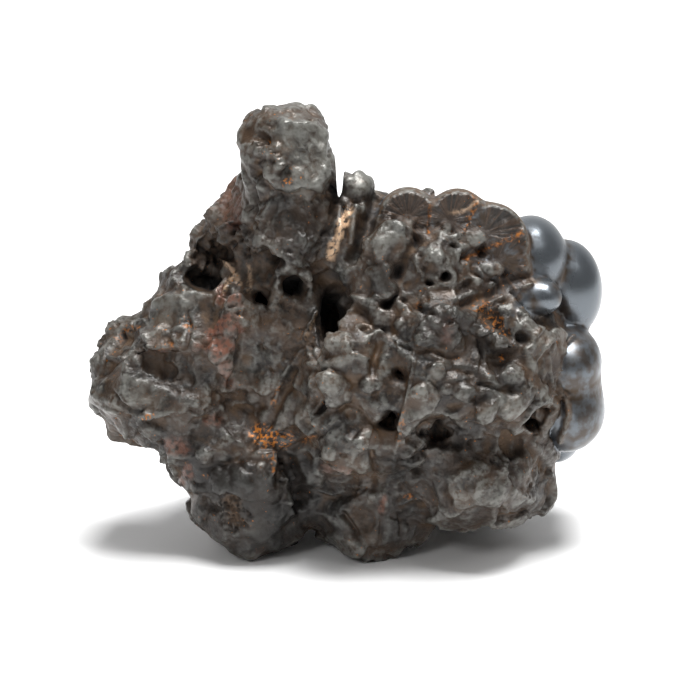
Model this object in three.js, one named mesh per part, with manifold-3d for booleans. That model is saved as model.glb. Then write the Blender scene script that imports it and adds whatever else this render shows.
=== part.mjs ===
// A hand specimen of botryoidal hematite, one natural piece of stone.
// Millimetres, +Z up. +X is to the right and -Y towards someone who looks at the broken side.
// The broken side is rough and pitted. The back, the right end and the upper rim are a crust of round domes.
import * as THREE from "three";
import { mergeVertices } from "three/addons/utils/BufferGeometryUtils.js";
import { ImprovedNoise } from "three/addons/math/ImprovedNoise.js";
import Module from "manifold-3d";

const wasm = await Module();
wasm.setup();

const footDepth = 0.35; // how much of each low knob is flattened where it stands
const boxMiddle = [-0.5, 1.96]; // x and y of the middle of the specimen's box in the tables' own frame
const bodyDetail = 13; // splits along each edge of the ball that becomes the body
const massFillet = 2; // where two masses of the body meet
const knobFillet = 0.9; // where a knob or a valley meets the body
const facetSharpness = 20; // higher leaves a block's edges sharper
const goldenTurn = Math.PI * (3 - Math.sqrt(5));
const noise = new ImprovedNoise();

// The masses of the broken body. Each is a block with rounded facets: its centre, half sizes, a turn in
// degrees, and chips, which are flat breaks that face a given way at a given distance from the centre.
const masses = {
  core: { at: [0, 4, 26], half: [23, 15, 17] },
  leftBlock: {
    at: [-27.1, -1, 25.6], half: [11.2, 10.4, 10], turn: [0, 26, 0],
    chips: [{ facing: [-0.62, -0.3, 0.72], reach: 8.8 }, { facing: [-0.15, -1, 0.1], reach: 8.8 }],
  },
  leftShoulder: { at: [-21, 2, 33.2], half: [8.8, 8.6, 8.4], turn: [0, 40, 0] },
  slope: { at: [-16.8, 4, 44.6], half: [6.2, 7, 12.6], turn: [0, 33, 0] },
  pillar: {
    at: [-9.2, -1, 55.8], half: [8.6, 8, 13], turn: [0, -2, 8],
    chips: [
      { facing: [0.12, -1, 0.1], reach: 5.8 }, { facing: [1, 0.1, 0.04], reach: 6 },
      { facing: [-1, 0, -0.1], reach: 5.8 }, { facing: [0.1, -0.1, 1], reach: 10.7 },
    ],
  },
  pillarRoot: {
    at: [-8.6, -1.8, 45.5], half: [7, 7.6, 9], turn: [0, 8, 20],
    chips: [{ facing: [0.35, -0.9, -0.3], reach: 6.4 }, { facing: [-0.6, -0.75, -0.1], reach: 6.2 }],
  },
  knob: { at: [1.2, 1, 53.8], half: [2.7, 4, 4], turn: [0, 10, 0] },
  knobRoot: { at: [3.2, 1, 45], half: [4.6, 6, 7] },
  saddle: { at: [-1, 5.5, 45.5], half: [7.5, 7, 6.5] },
  rimMass: { at: [14, 3, 42], half: [13, 10, 10], turn: [0, 8, 0] },
  belly: { at: [8, -7, 26], half: [16.5, 10, 13] },
  rightMass: { at: [24, 1, 25], half: [8.8, 13, 13.5] },
  lowerRight: { at: [17.5, -2, 14], half: [12.5, 13.5, 9.5], turn: [0, 14, 0] },
  lowerLeft: { at: [-20, -1, 17], half: [8.2, 9, 8], turn: [0, -38, 0] },
  lobe: { at: [-14.6, -3.5, 11.2], half: [9.3, 9.6, 12], turn: [0, -14, 0] },
  wedge: {
    at: [4, -4.5, 10.2], half: [8.4, 9.4, 11], turn: [0, 8, 12],
    chips: [{ facing: [0.5, -0.85, -0.1], reach: 7.2 }, { facing: [-0.45, -0.88, 0.05], reach: 7.4 }],
  },
};

// Swellings and ridges of a few millimetres on the broken side.
const knobs = {
  pillarPlate: { at: [-8.2, -5.8, 59.8], half: [4.6, 3.4, 6.2] },
  redRidge: { at: [-18.2, -7.4, 34.6], half: [2.6, 3, 5.4], turn: [0, 28, 0] },
  redKnob: { at: [-17, -5.7, 39.5], half: [2, 2.2, 2.4] },
  blockBrow: { at: [-27, -7.7, 33.6], half: [6.8, 3.2, 2] },
  blockLip: { at: [-28.3, -9.4, 25.4], half: [5.6, 2.8, 2.4], turn: [0, -8, 0] },
  paleLump: { at: [5.2, -5.8, 48], half: [3.6, 3, 5], turn: [0, 38, 0] },
  darkLump: { at: [3.4, -6.8, 41.8], half: [3.2, 2.8, 4.6], turn: [0, 10, 0] },
  upperKnob: { at: [8, -5.6, 52], half: [2, 2, 2] },
  rimKnob: { at: [12.6, -6.2, 49.3], half: [2.1, 2, 2] },
  ringKnob: { at: [11.9, -7.4, 45.6], half: [2.9, 2.6, 2.9] },
  pipeKnob: { at: [11.6, -7.6, 43.2], half: [2.6, 2.4, 2.2] },
  shelf: { at: [16.5, -6.8, 47.6], half: [3.9, 2.4, 1.5], turn: [0, 8, 0] },
  innerRib: { at: [20.4, -7.4, 41.2], half: [6, 2.2, 1.3], turn: [0, -19, 0] },
  boss: { at: [0, -14.6, 33.9], half: [3.4, 2.6, 3.2] },
  lowBoss: { at: [-2.9, -15, 29.5], half: [3.8, 2.6, 3] },
  overSlit: { at: [12.9, -13, 37.4], half: [6, 2.8, 3] },
  underSlit: { at: [12.4, -16.6, 31.3], half: [5.4, 2.6, 2.8] },
  smoothKnob: { at: [19.4, -14.6, 28.7], half: [3.6, 3.4, 4] },
  endBoss: { at: [23.9, -12.6, 27], half: [3, 3, 5], turn: [0, 20, 0] },
  endRidge: { at: [24.6, -9.8, 34.4], half: [3.4, 2.8, 4.2], turn: [0, -20, 0] },
  farRidge: { at: [29.6, -8.6, 33], half: [2.4, 2.6, 4.6], turn: [0, 15, 0] },
  lowCentre: { at: [-0.7, -15.6, 21.3], half: [5, 3, 5] },
};

// Valleys between them, each a rounded channel from one point to another.
const valleys = {
  rootValley: { from: [-1, -3.8, 54], to: [-4, -8.8, 43.4], radius: 1.3 },
  pillarNotch: { from: [-1.2, -6, 57.8], to: [-1.2, 14, 51.3], radius: 2 },
  secondValley: { from: [5.1, -2.8, 52.8], to: [0.3, -6.8, 41], radius: 1.1 },
  rootFoot: { from: [-13.4, -8.6, 44.6], to: [-8, -10.4, 43.8], radius: 1.4 },
  rootSide: { from: [-14.6, -6.2, 56], to: [-15, -6.4, 45], radius: 1 },
  blockSide: { from: [-14.6, -6, 39.6], to: [-15.6, -9.6, 28], radius: 1.1 },
  lobeGap: { from: [-6.4, -12.8, 18], to: [-6.2, -10.4, 3], radius: 2 },
  slit: { from: [9.3, -15.6, 34.6], to: [17, -14.6, 33.8], radius: 0.9 },
  endGroove: { from: [21.5, -11, 36], to: [21.5, -13.5, 24], radius: 1 },
};

// Low swellings that carry the specimen at the back.
const rearFeet = {
  rearLeftFoot: { at: [-12, 13, 5.8], half: [6, 6, 6] },
  rearRightFoot: { at: [17, 12, 5.6], half: [6.5, 6.5, 5.8] },
};

// Domes that the broken side shows: those of the rim are split by the break, the others are whole.
const rimDomes = {
  rimFirst: { at: [8.4, -3.6, 51], half: [4.6, 6, 4.8] },
  rimSecond: { at: [15.6, -3.6, 50.6], half: [4.6, 6, 5] },
  rimThird: { at: [20.4, -4, 47.6], half: [5.6, 6.5, 6] },
  rimFourth: { at: [21.8, -4, 43.2], half: [4.6, 6, 5.6] },
};
const endDomes = {
  upperEnd: { at: [26.7, 2.4, 43.5], half: [5.4, 6.6, 6.4] },
  tallEnd: { at: [32.7, 4.5, 38.4], half: [4.9, 6, 7.2], turn: [0, -6, 0] },
  buttonEnd: { at: [28.2, -5.5, 40], half: [2.7, 2.7, 2.5] },
  neckEnd: { at: [25.2, -4.6, 39.4], half: [3.3, 3.6, 3.6] },
  smallEnd: { at: [33.4, -0.8, 28.8], half: [3.9, 6.6, 5] },
  lowEnd: { at: [33.5, -1, 21.2], half: [4.5, 7.8, 6.2] },
  farEnd: { at: [34.4, 8, 21.4], half: [3.6, 5, 5.2] },
  underEnd: { at: [31, 4.5, 15.2], half: [4, 5.2, 4.2] },
};

// The break that splits the rim's domes: a point on it and the way it faces.
const rimBreak = { at: [15, -6.2, 47], facing: [0.05, -0.95, 0.22], size: 60 };

// Hollows and bores of the broken side, as ellipsoids whose long half runs back and down into the stone.
const hollows = {
  slopeHollow: { at: [-20.2, -1.5, 45.2], half: [3.4, 6, 2.6], turn: [-18, 15, 0] },
  slopeHollowLow: { at: [-21.5, -1.5, 41.6], half: [3, 5, 1.8], turn: [-18, 20, 0] },
  roundBore: { at: [-8.3, -8, 42.6], half: [1.8, 7, 1.8], turn: [-18, 0, 0] },
  lowBore: { at: [-12.8, -7, 39.8], half: [1.7, 6, 1.5], turn: [-18, 0, 0] },
  tallCleft: { at: [-2.7, -8, 37.8], half: [1.9, 8, 4.4], turn: [-18, 12, 0] },
  upperPipe: { at: [7.3, -16, 31.8], half: [1.5, 6, 1.6], turn: [-18, 0, 0] },
  lowerPipe: { at: [6, -16.5, 25.4], half: [1.5, 6, 1.5], turn: [-18, 0, 0] },
  bellyHollow: { at: [12.4, -16.4, 22.6], half: [4.4, 4.6, 2], turn: [-18, -10, 0] },
  blockHollow: { at: [-27.4, -11.4, 30.4], half: [6.4, 4, 2.8], turn: [-18, 12, 0] },
  endHollow: { at: [27, -11.5, 23.4], half: [2.6, 3.4, 2.8], turn: [-18, 12, 0] },
};

// The back's crust: domes laid on an egg-shaped shell by a golden spiral.
const shell = { at: [3, 5.5, 26.5], half: [28.5, 14.5, 22.8] };
const crust = { seeds: 54, least: 5.4, most: 8.8, sunk: 0.42, backOf: 0.12 };

const degrees = Math.PI / 180;

function turnOf(form) {
  const [x, y, z] = form.turn ?? [0, 0, 0];
  return new THREE.Quaternion().setFromEuler(new THREE.Euler(x * degrees, y * degrees, z * degrees));
}

// The ways that a block's facets face, evenly spread.
function facetWays(count) {
  return Array.from({ length: count }, (_, i) => {
    const rise = 1 - (2 * (i + 0.5)) / count;
    const wide = Math.sqrt(1 - rise * rise);
    return new THREE.Vector3(wide * Math.cos(goldenTurn * i), wide * Math.sin(goldenTurn * i), rise);
  });
}

// A form ready to be measured: its centre, the turn into its own axes, its half sizes and its chips.
function measured(form) {
  return {
    centre: new THREE.Vector3(...form.at),
    inward: turnOf(form).invert(),
    half: new THREE.Vector3(...form.half),
    reach: Math.hypot(...form.half),
    chips: (form.chips ?? []).map((chip) => ({
      way: new THREE.Vector3(...chip.facing).normalize(),
      reach: chip.reach,
    })),
  };
}

const facets = facetWays(14);
const fromCentre = new THREE.Vector3();
const local = new THREE.Vector3();

// Distance from a point to a block with rounded facets, below zero inside it.
function distanceTo(form, point) {
  fromCentre.copy(point).sub(form.centre);
  local.copy(fromCentre).applyQuaternion(form.inward).divide(form.half);
  const sum = facets.reduce((total, way) => total + Math.max(local.dot(way), 0) ** facetSharpness, 0);
  const outer = fromCentre.length() * (1 - 1 / sum ** (1 / facetSharpness));
  return form.chips.reduce((found, chip) => Math.max(found, fromCentre.dot(chip.way) - chip.reach), outer);
}

// Distance from a point to a rounded channel.
function distanceToValley(valley, point) {
  const from = new THREE.Vector3(...valley.from);
  const line = new THREE.Line3(from, new THREE.Vector3(...valley.to));
  return line.closestPointToPoint(point, true, local).distanceTo(point) - valley.radius;
}

// The smaller of two distances, with a fillet where they meet.
function filleted(a, b, radius) {
  const h = Math.max(radius - Math.abs(a - b), 0) / radius;
  return Math.min(a, b) - (h * h * radius) / 4;
}

// Broken stone is uneven at two scales: broad facets and small knobs.
function unevenness(point) {
  const broad = noise.noise(point.x / 9, point.y / 9, point.z / 9 + 40);
  const small = noise.noise(point.x / 4 + 20, point.y / 4, point.z / 4);
  return 1.2 * Math.abs(broad) - 0.4 + 0.6 * small;
}

const massForms = Object.values({ ...masses, ...rearFeet }).map(measured);
const knobForms = Object.values(knobs).map(measured);

function withForms(found, forms, radius, point) {
  return forms.reduce((least, form) => {
    const far = point.distanceTo(form.centre) - form.reach * 1.3 > least + radius;
    return far ? least : filleted(least, distanceTo(form, point), radius);
  }, found);
}

function bodyDistance(point) {
  const whole = withForms(withForms(1e3, massForms, massFillet, point), knobForms, knobFillet, point);
  const carved = Object.values(valleys).reduce(
    (found, valley) => -filleted(-found, distanceToValley(valley, point), knobFillet),
    whole,
  );
  return carved + unevenness(point);
}

const probe = new THREE.Vector3();

// The step that leads from a point near the body onto it, as a length along the way out of the body.
function outwardAt(point) {
  const step = 0.05;
  const here = bodyDistance(point);
  const slope = new THREE.Vector3(...[[step, 0, 0], [0, step, 0], [0, 0, step]].map(
    ([x, y, z]) => (bodyDistance(probe.set(point.x + x, point.y + y, point.z + z)) - here) / step,
  ));
  return { way: slope.clone().normalize(), height: here / slope.length() };
}

// A ball of even triangles with its vertices shared.
function plainBall(detail) {
  const ball = new THREE.IcosahedronGeometry(1, detail);
  ball.deleteAttribute("normal");
  ball.deleteAttribute("uv");
  return mergeVertices(ball, 1e-5);
}

function neighboursIn(geometry) {
  const found = Array.from({ length: geometry.attributes.position.count }, () => new Set());
  const corners = geometry.index.array;
  for (let i = 0; i < corners.length; i += 3) {
    for (const [from, to] of [[0, 1], [1, 2], [2, 0]]) {
      found[corners[i + from]].add(corners[i + to]);
      found[corners[i + to]].add(corners[i + from]);
    }
  }
  return found.map((set) => [...set]);
}

// The body: a ball laid round all the masses, then drawn in onto them pass by pass, its vertices kept even.
function brokenBody() {
  const passes = 60;
  const longestStep = 1.4;
  const evenings = 5;
  const ball = plainBall(bodyDetail).scale(42, 28, 40).translate(0, 1, 31);
  const near = neighboursIn(ball);
  const points = near.map((_, i) => new THREE.Vector3().fromBufferAttribute(ball.attributes.position, i));
  const ways = points.map(() => new THREE.Vector3());
  for (let pass = 0; pass < passes; pass += 1) {
    points.forEach((point, i) => {
      const { way, height } = outwardAt(point);
      ways[i].copy(way);
      point.addScaledVector(way, -THREE.MathUtils.clamp(height, -longestStep, longestStep));
    });
    for (let turn = 0; turn < evenings && pass < passes - 2; turn += 1) {
      points.forEach((point, i) => {
        const drift = near[i].reduce((sum, j) => sum.add(points[j]), new THREE.Vector3());
        drift.divideScalar(near[i].length).sub(point);
        point.addScaledVector(drift.addScaledVector(ways[i], -drift.dot(ways[i])), 0.5);
      });
    }
  }
  points.forEach((point, i) => ball.attributes.position.setXYZ(i, ...point.toArray()));
  return ball;
}

// An ellipsoid of even triangles, with fewer on the small ones.
function egg(form) {
  const detail = Math.max(...form.half) < 3.5 ? 1 : 2;
  return plainBall(detail).scale(...form.half).applyQuaternion(turnOf(form)).translate(...form.at);
}

function solid(geometry) {
  return new wasm.Manifold(new wasm.Mesh({
    numProp: 3,
    vertProperties: geometry.attributes.position.array,
    triVerts: new Uint32Array(geometry.index.array),
  }));
}

// A large block whose one face lies at a point and faces a given way; what it covers is cut away.
function beyond(at, facing, size) {
  const block = new THREE.BoxGeometry(size, size, size);
  block.deleteAttribute("normal");
  block.deleteAttribute("uv");
  const turn = new THREE.Quaternion().setFromUnitVectors(
    new THREE.Vector3(0, 0, 1),
    new THREE.Vector3(...facing).normalize(),
  );
  return mergeVertices(block.translate(0, 0, size / 2).applyQuaternion(turn).translate(...at));
}

// The domes of the back, from a golden spiral on the shell, each of its own size.
function crustDomes() {
  const domes = [];
  for (let seed = 0; seed < crust.seeds; seed += 1) {
    const along = 1 - (2 * (seed + 0.5)) / crust.seeds;
    const around = goldenTurn * seed + 0.35 * Math.sin(seed * 7.3);
    const wide = Math.sqrt(1 - along * along);
    const way = new THREE.Vector3(along, wide * Math.cos(around), wide * Math.sin(around));
    if (way.y < crust.backOf) continue;
    const share = 0.5 + 0.5 * Math.sin(seed * 4.7 + 1);
    const radius = THREE.MathUtils.lerp(crust.least, crust.most, share);
    const half = shell.half.map((size) => size - radius * crust.sunk);
    const at = way.toArray().map((value, axis) => shell.at[axis] + value * half[axis]);
    domes.push({ at, half: [radius, radius, radius] });
  }
  return domes;
}

function joined(forms) {
  return forms.map((form) => solid(egg(form))).reduce((whole, next) => whole.add(next));
}

function hematiteSolid() {
  const rimCut = solid(beyond(rimBreak.at, rimBreak.facing, rimBreak.size));
  const rim = joined(Object.values(rimDomes)).subtract(rimCut);
  const domes = joined([...Object.values(endDomes), ...crustDomes()]).add(rim);
  const floor = solid(beyond([0, 0, footDepth], [0, 0, -1], 200));
  return solid(brokenBody()).add(domes).subtract(joined(Object.values(hollows))).subtract(floor);
}

function geometryOf(stone) {
  const mesh = stone.getMesh();
  const geometry = new THREE.BufferGeometry();
  geometry.setAttribute("position", new THREE.BufferAttribute(mesh.vertProperties, 3));
  geometry.setIndex(new THREE.BufferAttribute(mesh.triVerts, 1));
  geometry.computeVertexNormals();
  return geometry;
}

const hematite = new THREE.MeshStandardMaterial({ color: "#3b3937", roughness: 0.5, metalness: 0.35 });
const stone = new THREE.Mesh(geometryOf(hematiteSolid()), hematite);
stone.name = "hematite";
stone.position.set(-boxMiddle[0], -boxMiddle[1], -footDepth);

const specimen = new THREE.Group();
specimen.add(stone);

export default specimen;
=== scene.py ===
# A hand specimen of botryoidal hematite on a white table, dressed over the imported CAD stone.
# Lengths in the tables are millimetres. Places on the broken side are named by pixels of the 700 x 700 photo.
import math

import bmesh
import bpy
import numpy as np
from mathutils import Euler, Matrix, Vector, noise
from mathutils.bvhtree import BVHTree


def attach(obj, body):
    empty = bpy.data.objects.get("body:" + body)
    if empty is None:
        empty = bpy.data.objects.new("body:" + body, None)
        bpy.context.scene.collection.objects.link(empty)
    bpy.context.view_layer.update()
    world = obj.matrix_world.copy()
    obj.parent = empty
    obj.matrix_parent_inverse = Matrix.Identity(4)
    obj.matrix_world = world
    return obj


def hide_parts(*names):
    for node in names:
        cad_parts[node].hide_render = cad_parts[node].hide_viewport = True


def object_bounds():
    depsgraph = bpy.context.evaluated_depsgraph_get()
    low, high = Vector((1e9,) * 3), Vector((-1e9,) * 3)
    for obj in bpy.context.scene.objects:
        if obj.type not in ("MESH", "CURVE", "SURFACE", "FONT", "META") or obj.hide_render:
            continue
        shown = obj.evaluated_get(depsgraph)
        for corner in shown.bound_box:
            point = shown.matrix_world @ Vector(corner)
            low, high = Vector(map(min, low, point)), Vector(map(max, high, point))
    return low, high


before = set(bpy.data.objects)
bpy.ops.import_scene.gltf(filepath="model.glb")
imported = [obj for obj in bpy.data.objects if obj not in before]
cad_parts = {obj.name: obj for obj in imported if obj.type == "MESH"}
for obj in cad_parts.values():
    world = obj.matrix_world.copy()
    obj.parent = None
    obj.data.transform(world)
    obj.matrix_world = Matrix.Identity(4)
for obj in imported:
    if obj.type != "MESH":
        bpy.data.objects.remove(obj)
cadLow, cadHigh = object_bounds()
mm = 0.001
goldenTurn = math.pi * (3 - math.sqrt(5))


def smoothStep(low, high, values):
    share = np.clip((values - low) / (high - low), 0, 1)
    return share * share * (3 - 2 * share)


# A mesh's places in millimetres as an array, and back.
def placesOf(mesh):
    flat = np.empty(len(mesh.vertices) * 3)
    mesh.vertices.foreach_get("co", flat)
    return flat.reshape(-1, 3) / mm


def setPlaces(mesh, places):
    mesh.vertices.foreach_set("co", (places * mm).ravel())
    mesh.update()


def normalsOf(mesh):
    flat = np.empty(len(mesh.vertices) * 3, dtype=np.float32)
    mesh.vertex_normals.foreach_get("vector", flat)
    return flat.reshape(-1, 3).astype(float)


def edgesOf(mesh):
    flat = np.empty(len(mesh.edges) * 2, dtype=np.int32)
    mesh.edges.foreach_get("vertices", flat)
    return flat.reshape(-1, 2)


# Each value moved towards its neighbours' mean, pass by pass.
def averaged(values, edges, passes, share=0.5):
    count = len(values)
    first, second = edges[:, 0], edges[:, 1]
    degree = np.bincount(first, minlength=count) + np.bincount(second, minlength=count)
    degree = np.maximum(degree, 1)
    table = values if values.ndim == 2 else values[:, None]
    for _ in range(passes):
        mean = np.empty_like(table)
        for axis in range(table.shape[1]):
            column = table[:, axis]
            total = np.bincount(first, column[second], count) + np.bincount(second, column[first], count)
            mean[:, axis] = total / degree
        table = table + (mean - table) * share
    return table.reshape(values.shape)


def withModifier(piece, kind, **settings):
    modifier = piece.modifiers.new(kind.lower(), kind)
    for key, value in settings.items():
        setattr(modifier, key, value)
    graph = bpy.context.evaluated_depsgraph_get()
    made = bpy.data.meshes.new_from_object(piece.evaluated_get(graph))
    piece.modifiers.clear()
    old = piece.data
    piece.data = made
    bpy.data.meshes.remove(old)


def newPiece(name, bm):
    mesh = bpy.data.meshes.new(name)
    bm.to_mesh(mesh)
    bm.free()
    piece = bpy.data.objects.new(name, mesh)
    bpy.context.scene.collection.objects.link(piece)
    return piece


# The stone's own mesh: voxel sizes, passes of smoothing, and the size of the finished mesh.
stone = {
    "softVoxel": 0.55,
    "softPasses": 6,
    "voxel": 0.34,
    "skinPasses": 3,  # draw the domes onto their true curves
    "breakPasses": 5,  # free the broken side of voxel steps
    "facingPasses": 12,
    "lastShare": 0.3,  # of one more pass after the relief
    "triangles": 196000,
    "boxMiddle": (-0.5, 1.96, 0.35),  # what the CAD tables are moved by
    "skinBlend": 0.55,  # how softly one dome runs into the next
}

# The grown domes: centre, half sizes and a turn about Y in degrees. They are the CAD's, but smallEnd and
# lowEnd are a little fuller and waistEnd joins the two.
endDomes = {
    "upperEnd": ((26.7, 2.4, 43.5), (5.4, 6.6, 6.4), 0),
    "tallEnd": ((32.7, 4.5, 38.4), (4.9, 6, 7.2), -6),
    "buttonEnd": ((28.2, -5.5, 40), (2.7, 2.7, 2.5), 0),
    "neckEnd": ((25.2, -4.6, 39.4), (3.3, 3.6, 3.6), 0),
    "smallEnd": ((32.1, -1.2, 28.8), (5.2, 7, 5.2), 0),
    "lowEnd": ((32, -1.2, 21.2), (6, 8, 6.2), 0),
    "waistEnd": ((32, -0.6, 25.2), (5.2, 7, 4.6), 0),
    "farEnd": ((34.4, 8, 21.4), (3.6, 5, 5.2), 0),
    "underEnd": ((31, 4.5, 15.2), (4, 5.2, 4.2), 0),
}
rimDomes = {
    "rimFirst": ((8.4, -3.6, 51), (4.6, 6, 4.8), 0),
    "rimSecond": ((15.6, -3.6, 50.6), (4.6, 6, 5), 0),
    "rimThird": ((20.4, -4, 47.6), (5.6, 6.5, 6), 0),
    "rimFourth": ((21.8, -4, 43.2), (4.6, 6, 5.6), 0),
}
# The plane that splits the rim domes, and the bands beside it that count as the split face.
rimBreak = {"at": (15, -6.2, 47), "facing": (0.05, -0.95, 0.22)}
sectionBands = {"shape": (0.3, 0.8), "finish": (0.9, 1.4), "gloss": (0.3, 0.5)}
shell = {"at": (3, 5.5, 26.5), "half": (28.5, 14.5, 22.8)}
crust = {"seeds": 54, "least": 5.4, "most": 8.8, "sunk": 0.42, "backOf": 0.12}


# The grown domes as (centre, half sizes, turn), in the CAD's frame.
def domeForms(table):
    forms = []
    for at, half, turn in table.values():
        centre = np.array(at) - stone["boxMiddle"]
        turned = np.array(Euler((0, math.radians(turn), 0)).to_matrix())
        forms.append((centre, np.array(half, dtype=float), turned))
    return forms


def crustForms():
    forms = []
    for seed in range(crust["seeds"]):
        along = 1 - 2 * (seed + 0.5) / crust["seeds"]
        around = goldenTurn * seed + 0.35 * math.sin(seed * 7.3)
        wide = math.sqrt(1 - along * along)
        way = np.array((along, wide * math.cos(around), wide * math.sin(around)))
        if way[1] < crust["backOf"]:
            continue
        share = 0.5 + 0.5 * math.sin(seed * 4.7 + 1)
        radius = crust["least"] + (crust["most"] - crust["least"]) * share
        centre = np.array(shell["at"]) + way * (np.array(shell["half"]) - radius * crust["sunk"])
        forms.append((centre - stone["boxMiddle"], np.full(3, radius), np.eye(3)))
    return forms


wholeForms = domeForms(endDomes) + crustForms()
splitForms = domeForms(rimDomes)
breakPoint = np.array(rimBreak["at"]) - stone["boxMiddle"]
breakFacing = np.array(rimBreak["facing"]) / np.linalg.norm(rimBreak["facing"])


def addDome(bm, form, isSplit):
    centre, half, turn = form
    made = bmesh.ops.create_icosphere(bm, subdivisions=5, radius=1)
    bmesh.ops.scale(bm, vec=half * mm, verts=made["verts"])
    bmesh.ops.rotate(bm, matrix=Matrix(turn.tolist()), verts=made["verts"])
    bmesh.ops.translate(bm, vec=centre * mm, verts=made["verts"])
    if not isSplit:
        return
    verts = set(made["verts"])
    edges = [e for e in bm.edges if e.verts[0] in verts]
    faces = [f for f in bm.faces if f.verts[0] in verts]
    geometry = list(verts) + edges + faces
    plane = {"plane_co": breakPoint * mm, "plane_no": breakFacing}
    split = bmesh.ops.bisect_plane(bm, geom=geometry, clear_outer=True, **plane)
    rim = [e for e in split["geom_cut"] if isinstance(e, bmesh.types.BMEdge)]
    bmesh.ops.holes_fill(bm, edges=rim)


# The CAD stone, copied and rounded a little.
def softBody():
    bm = bmesh.new()
    bm.from_mesh(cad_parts["hematite"].data)
    bmesh.ops.remove_doubles(bm, verts=bm.verts, dist=1e-6)
    piece = newPiece("stone", bm)
    withModifier(piece, "REMESH", mode="VOXEL", voxel_size=stone["softVoxel"] * mm)
    setPlaces(piece.data, averaged(placesOf(piece.data), edgesOf(piece.data), stone["softPasses"]))
    return piece


def fuseDomes(piece):
    bm = bmesh.new()
    bm.from_mesh(piece.data)
    for form in splitForms:
        addDome(bm, form, True)
    for form in wholeForms:
        addDome(bm, form, False)
    bmesh.ops.triangulate(bm, faces=[f for f in bm.faces if len(f.verts) > 4])
    bm.to_mesh(piece.data)
    bm.free()
    withModifier(piece, "REMESH", mode="VOXEL", voxel_size=stone["voxel"] * mm)


# How far places are from the skin of all the domes, the way out of it, and how near the second dome is.
def domeSkin(places):
    count = len(places)
    total, way = np.zeros(count), np.zeros((count, 3))
    first, second = np.full(count, 99.0), np.full(count, 99.0)
    inFront = (places - breakPoint) @ breakFacing
    for index, (centre, half, turn) in enumerate(wholeForms + splitForms):
        local = (places - centre) @ turn
        scaled = local / half
        reach = np.linalg.norm(scaled, axis=1) + 1e-9
        slope = scaled / half
        steep = np.linalg.norm(slope, axis=1) + 1e-9
        away = (reach - 1) * reach / steep
        out = (slope / steep[:, None]) @ turn.T
        if index >= len(wholeForms):
            cut = inFront > away
            away = np.where(cut, inFront, away)
            out = np.where(cut[:, None], breakFacing, out)
        weight = np.exp(-np.clip(away, -5, 12) / stone["skinBlend"])
        total += weight
        way += weight[:, None] * out
        second = np.minimum(second, np.maximum(first, away))
        first = np.minimum(first, away)
    return -stone["skinBlend"] * np.log(total), way / total[:, None], second - first


# How much a place belongs to the flat faces of the split rim.
def sectionShare(places, band):
    inFront = (places - breakPoint) @ breakFacing
    inside = np.zeros(len(places))
    for centre, half, turn in splitForms:
        reach = np.linalg.norm(((places - centre) @ turn) / half, axis=1)
        inside = np.maximum(inside, smoothStep(0.01, 0.06, 1 - reach))
    return inside * (1 - smoothStep(*sectionBands[band], np.abs(inFront)))


# The worn skin of the split domes, just behind the break.
def rimShare(places):
    behind = (breakPoint - places) @ breakFacing
    onSkin = np.zeros(len(places))
    for centre, half, turn in splitForms:
        reach = np.linalg.norm(((places - centre) @ turn) / half, axis=1)
        onSkin = np.maximum(onSkin, 1 - smoothStep(0.04, 0.1, np.abs(reach - 1)))
    return onSkin * (1 - smoothStep(1.6, 3.4, behind))


# Where the photo was taken from: the point looked at, how steeply, how far off, and a pixel's size there.
photo = {"target": (0.5, -1.96, 29.7), "elevation": 18, "distance": 450, "mmPerPixel": 0.1485, "pixels": 700}
cameraRise = math.radians(photo["elevation"])
cameraUp = np.array((0, math.sin(cameraRise), math.cos(cameraRise)))
cameraBack = np.array((0, -math.cos(cameraRise), math.sin(cameraRise)))
cameraPlace = np.array(photo["target"]) + cameraBack * photo["distance"]


def rayThrough(pixel):
    half = photo["pixels"] / 2
    across, above = (pixel[0] - half) * photo["mmPerPixel"], (half - pixel[1]) * photo["mmPerPixel"]
    point = np.array(photo["target"]) + np.array((across, 0, 0)) + cameraUp * above
    ray = point - cameraPlace
    return ray / np.linalg.norm(ray)


# The pixels that places fall on.
def pixelsOf(places):
    offset = places - np.array(photo["target"])
    near = photo["distance"] / (photo["distance"] - offset @ cameraBack) / photo["mmPerPixel"]
    half = photo["pixels"] / 2
    return half + offset[:, 0] * near, half - (offset @ cameraUp) * near


# The stone as it stands, for finding what lies under a pixel.
def surfaceOf(mesh):
    places = [Vector(p) for p in placesOf(mesh)]
    return BVHTree.FromPolygons(places, [tuple(p.vertices) for p in mesh.polygons])


def under(surface, pixel):
    ray = rayThrough(pixel)
    place, facing, _, _ = surface.ray_cast(Vector(cameraPlace), Vector(ray))
    if place is None:
        place, facing, _, _ = surface.find_nearest(Vector(cameraPlace + ray * photo["distance"]))
    return np.array(place), np.array(facing)


# Places and facings along a path of pixels given as x, y, x, y, about half a millimetre apart.
def laidPath(surface, path):
    pixels = list(zip(path[::2], path[1::2]))
    stops = [pixels[0]]
    for start, end in zip(pixels, pixels[1:]):
        steps = max(1, round(math.dist(start, end) / 4))
        step = ((end[0] - start[0]) / steps, (end[1] - start[1]) / steps)
        stops += [(start[0] + step[0] * i, start[1] + step[1] * i) for i in range(1, steps + 1)]
    hits = [under(surface, stop) for stop in stops]
    return np.array([h[0] for h in hits]), np.array([h[1] for h in hits])


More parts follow.
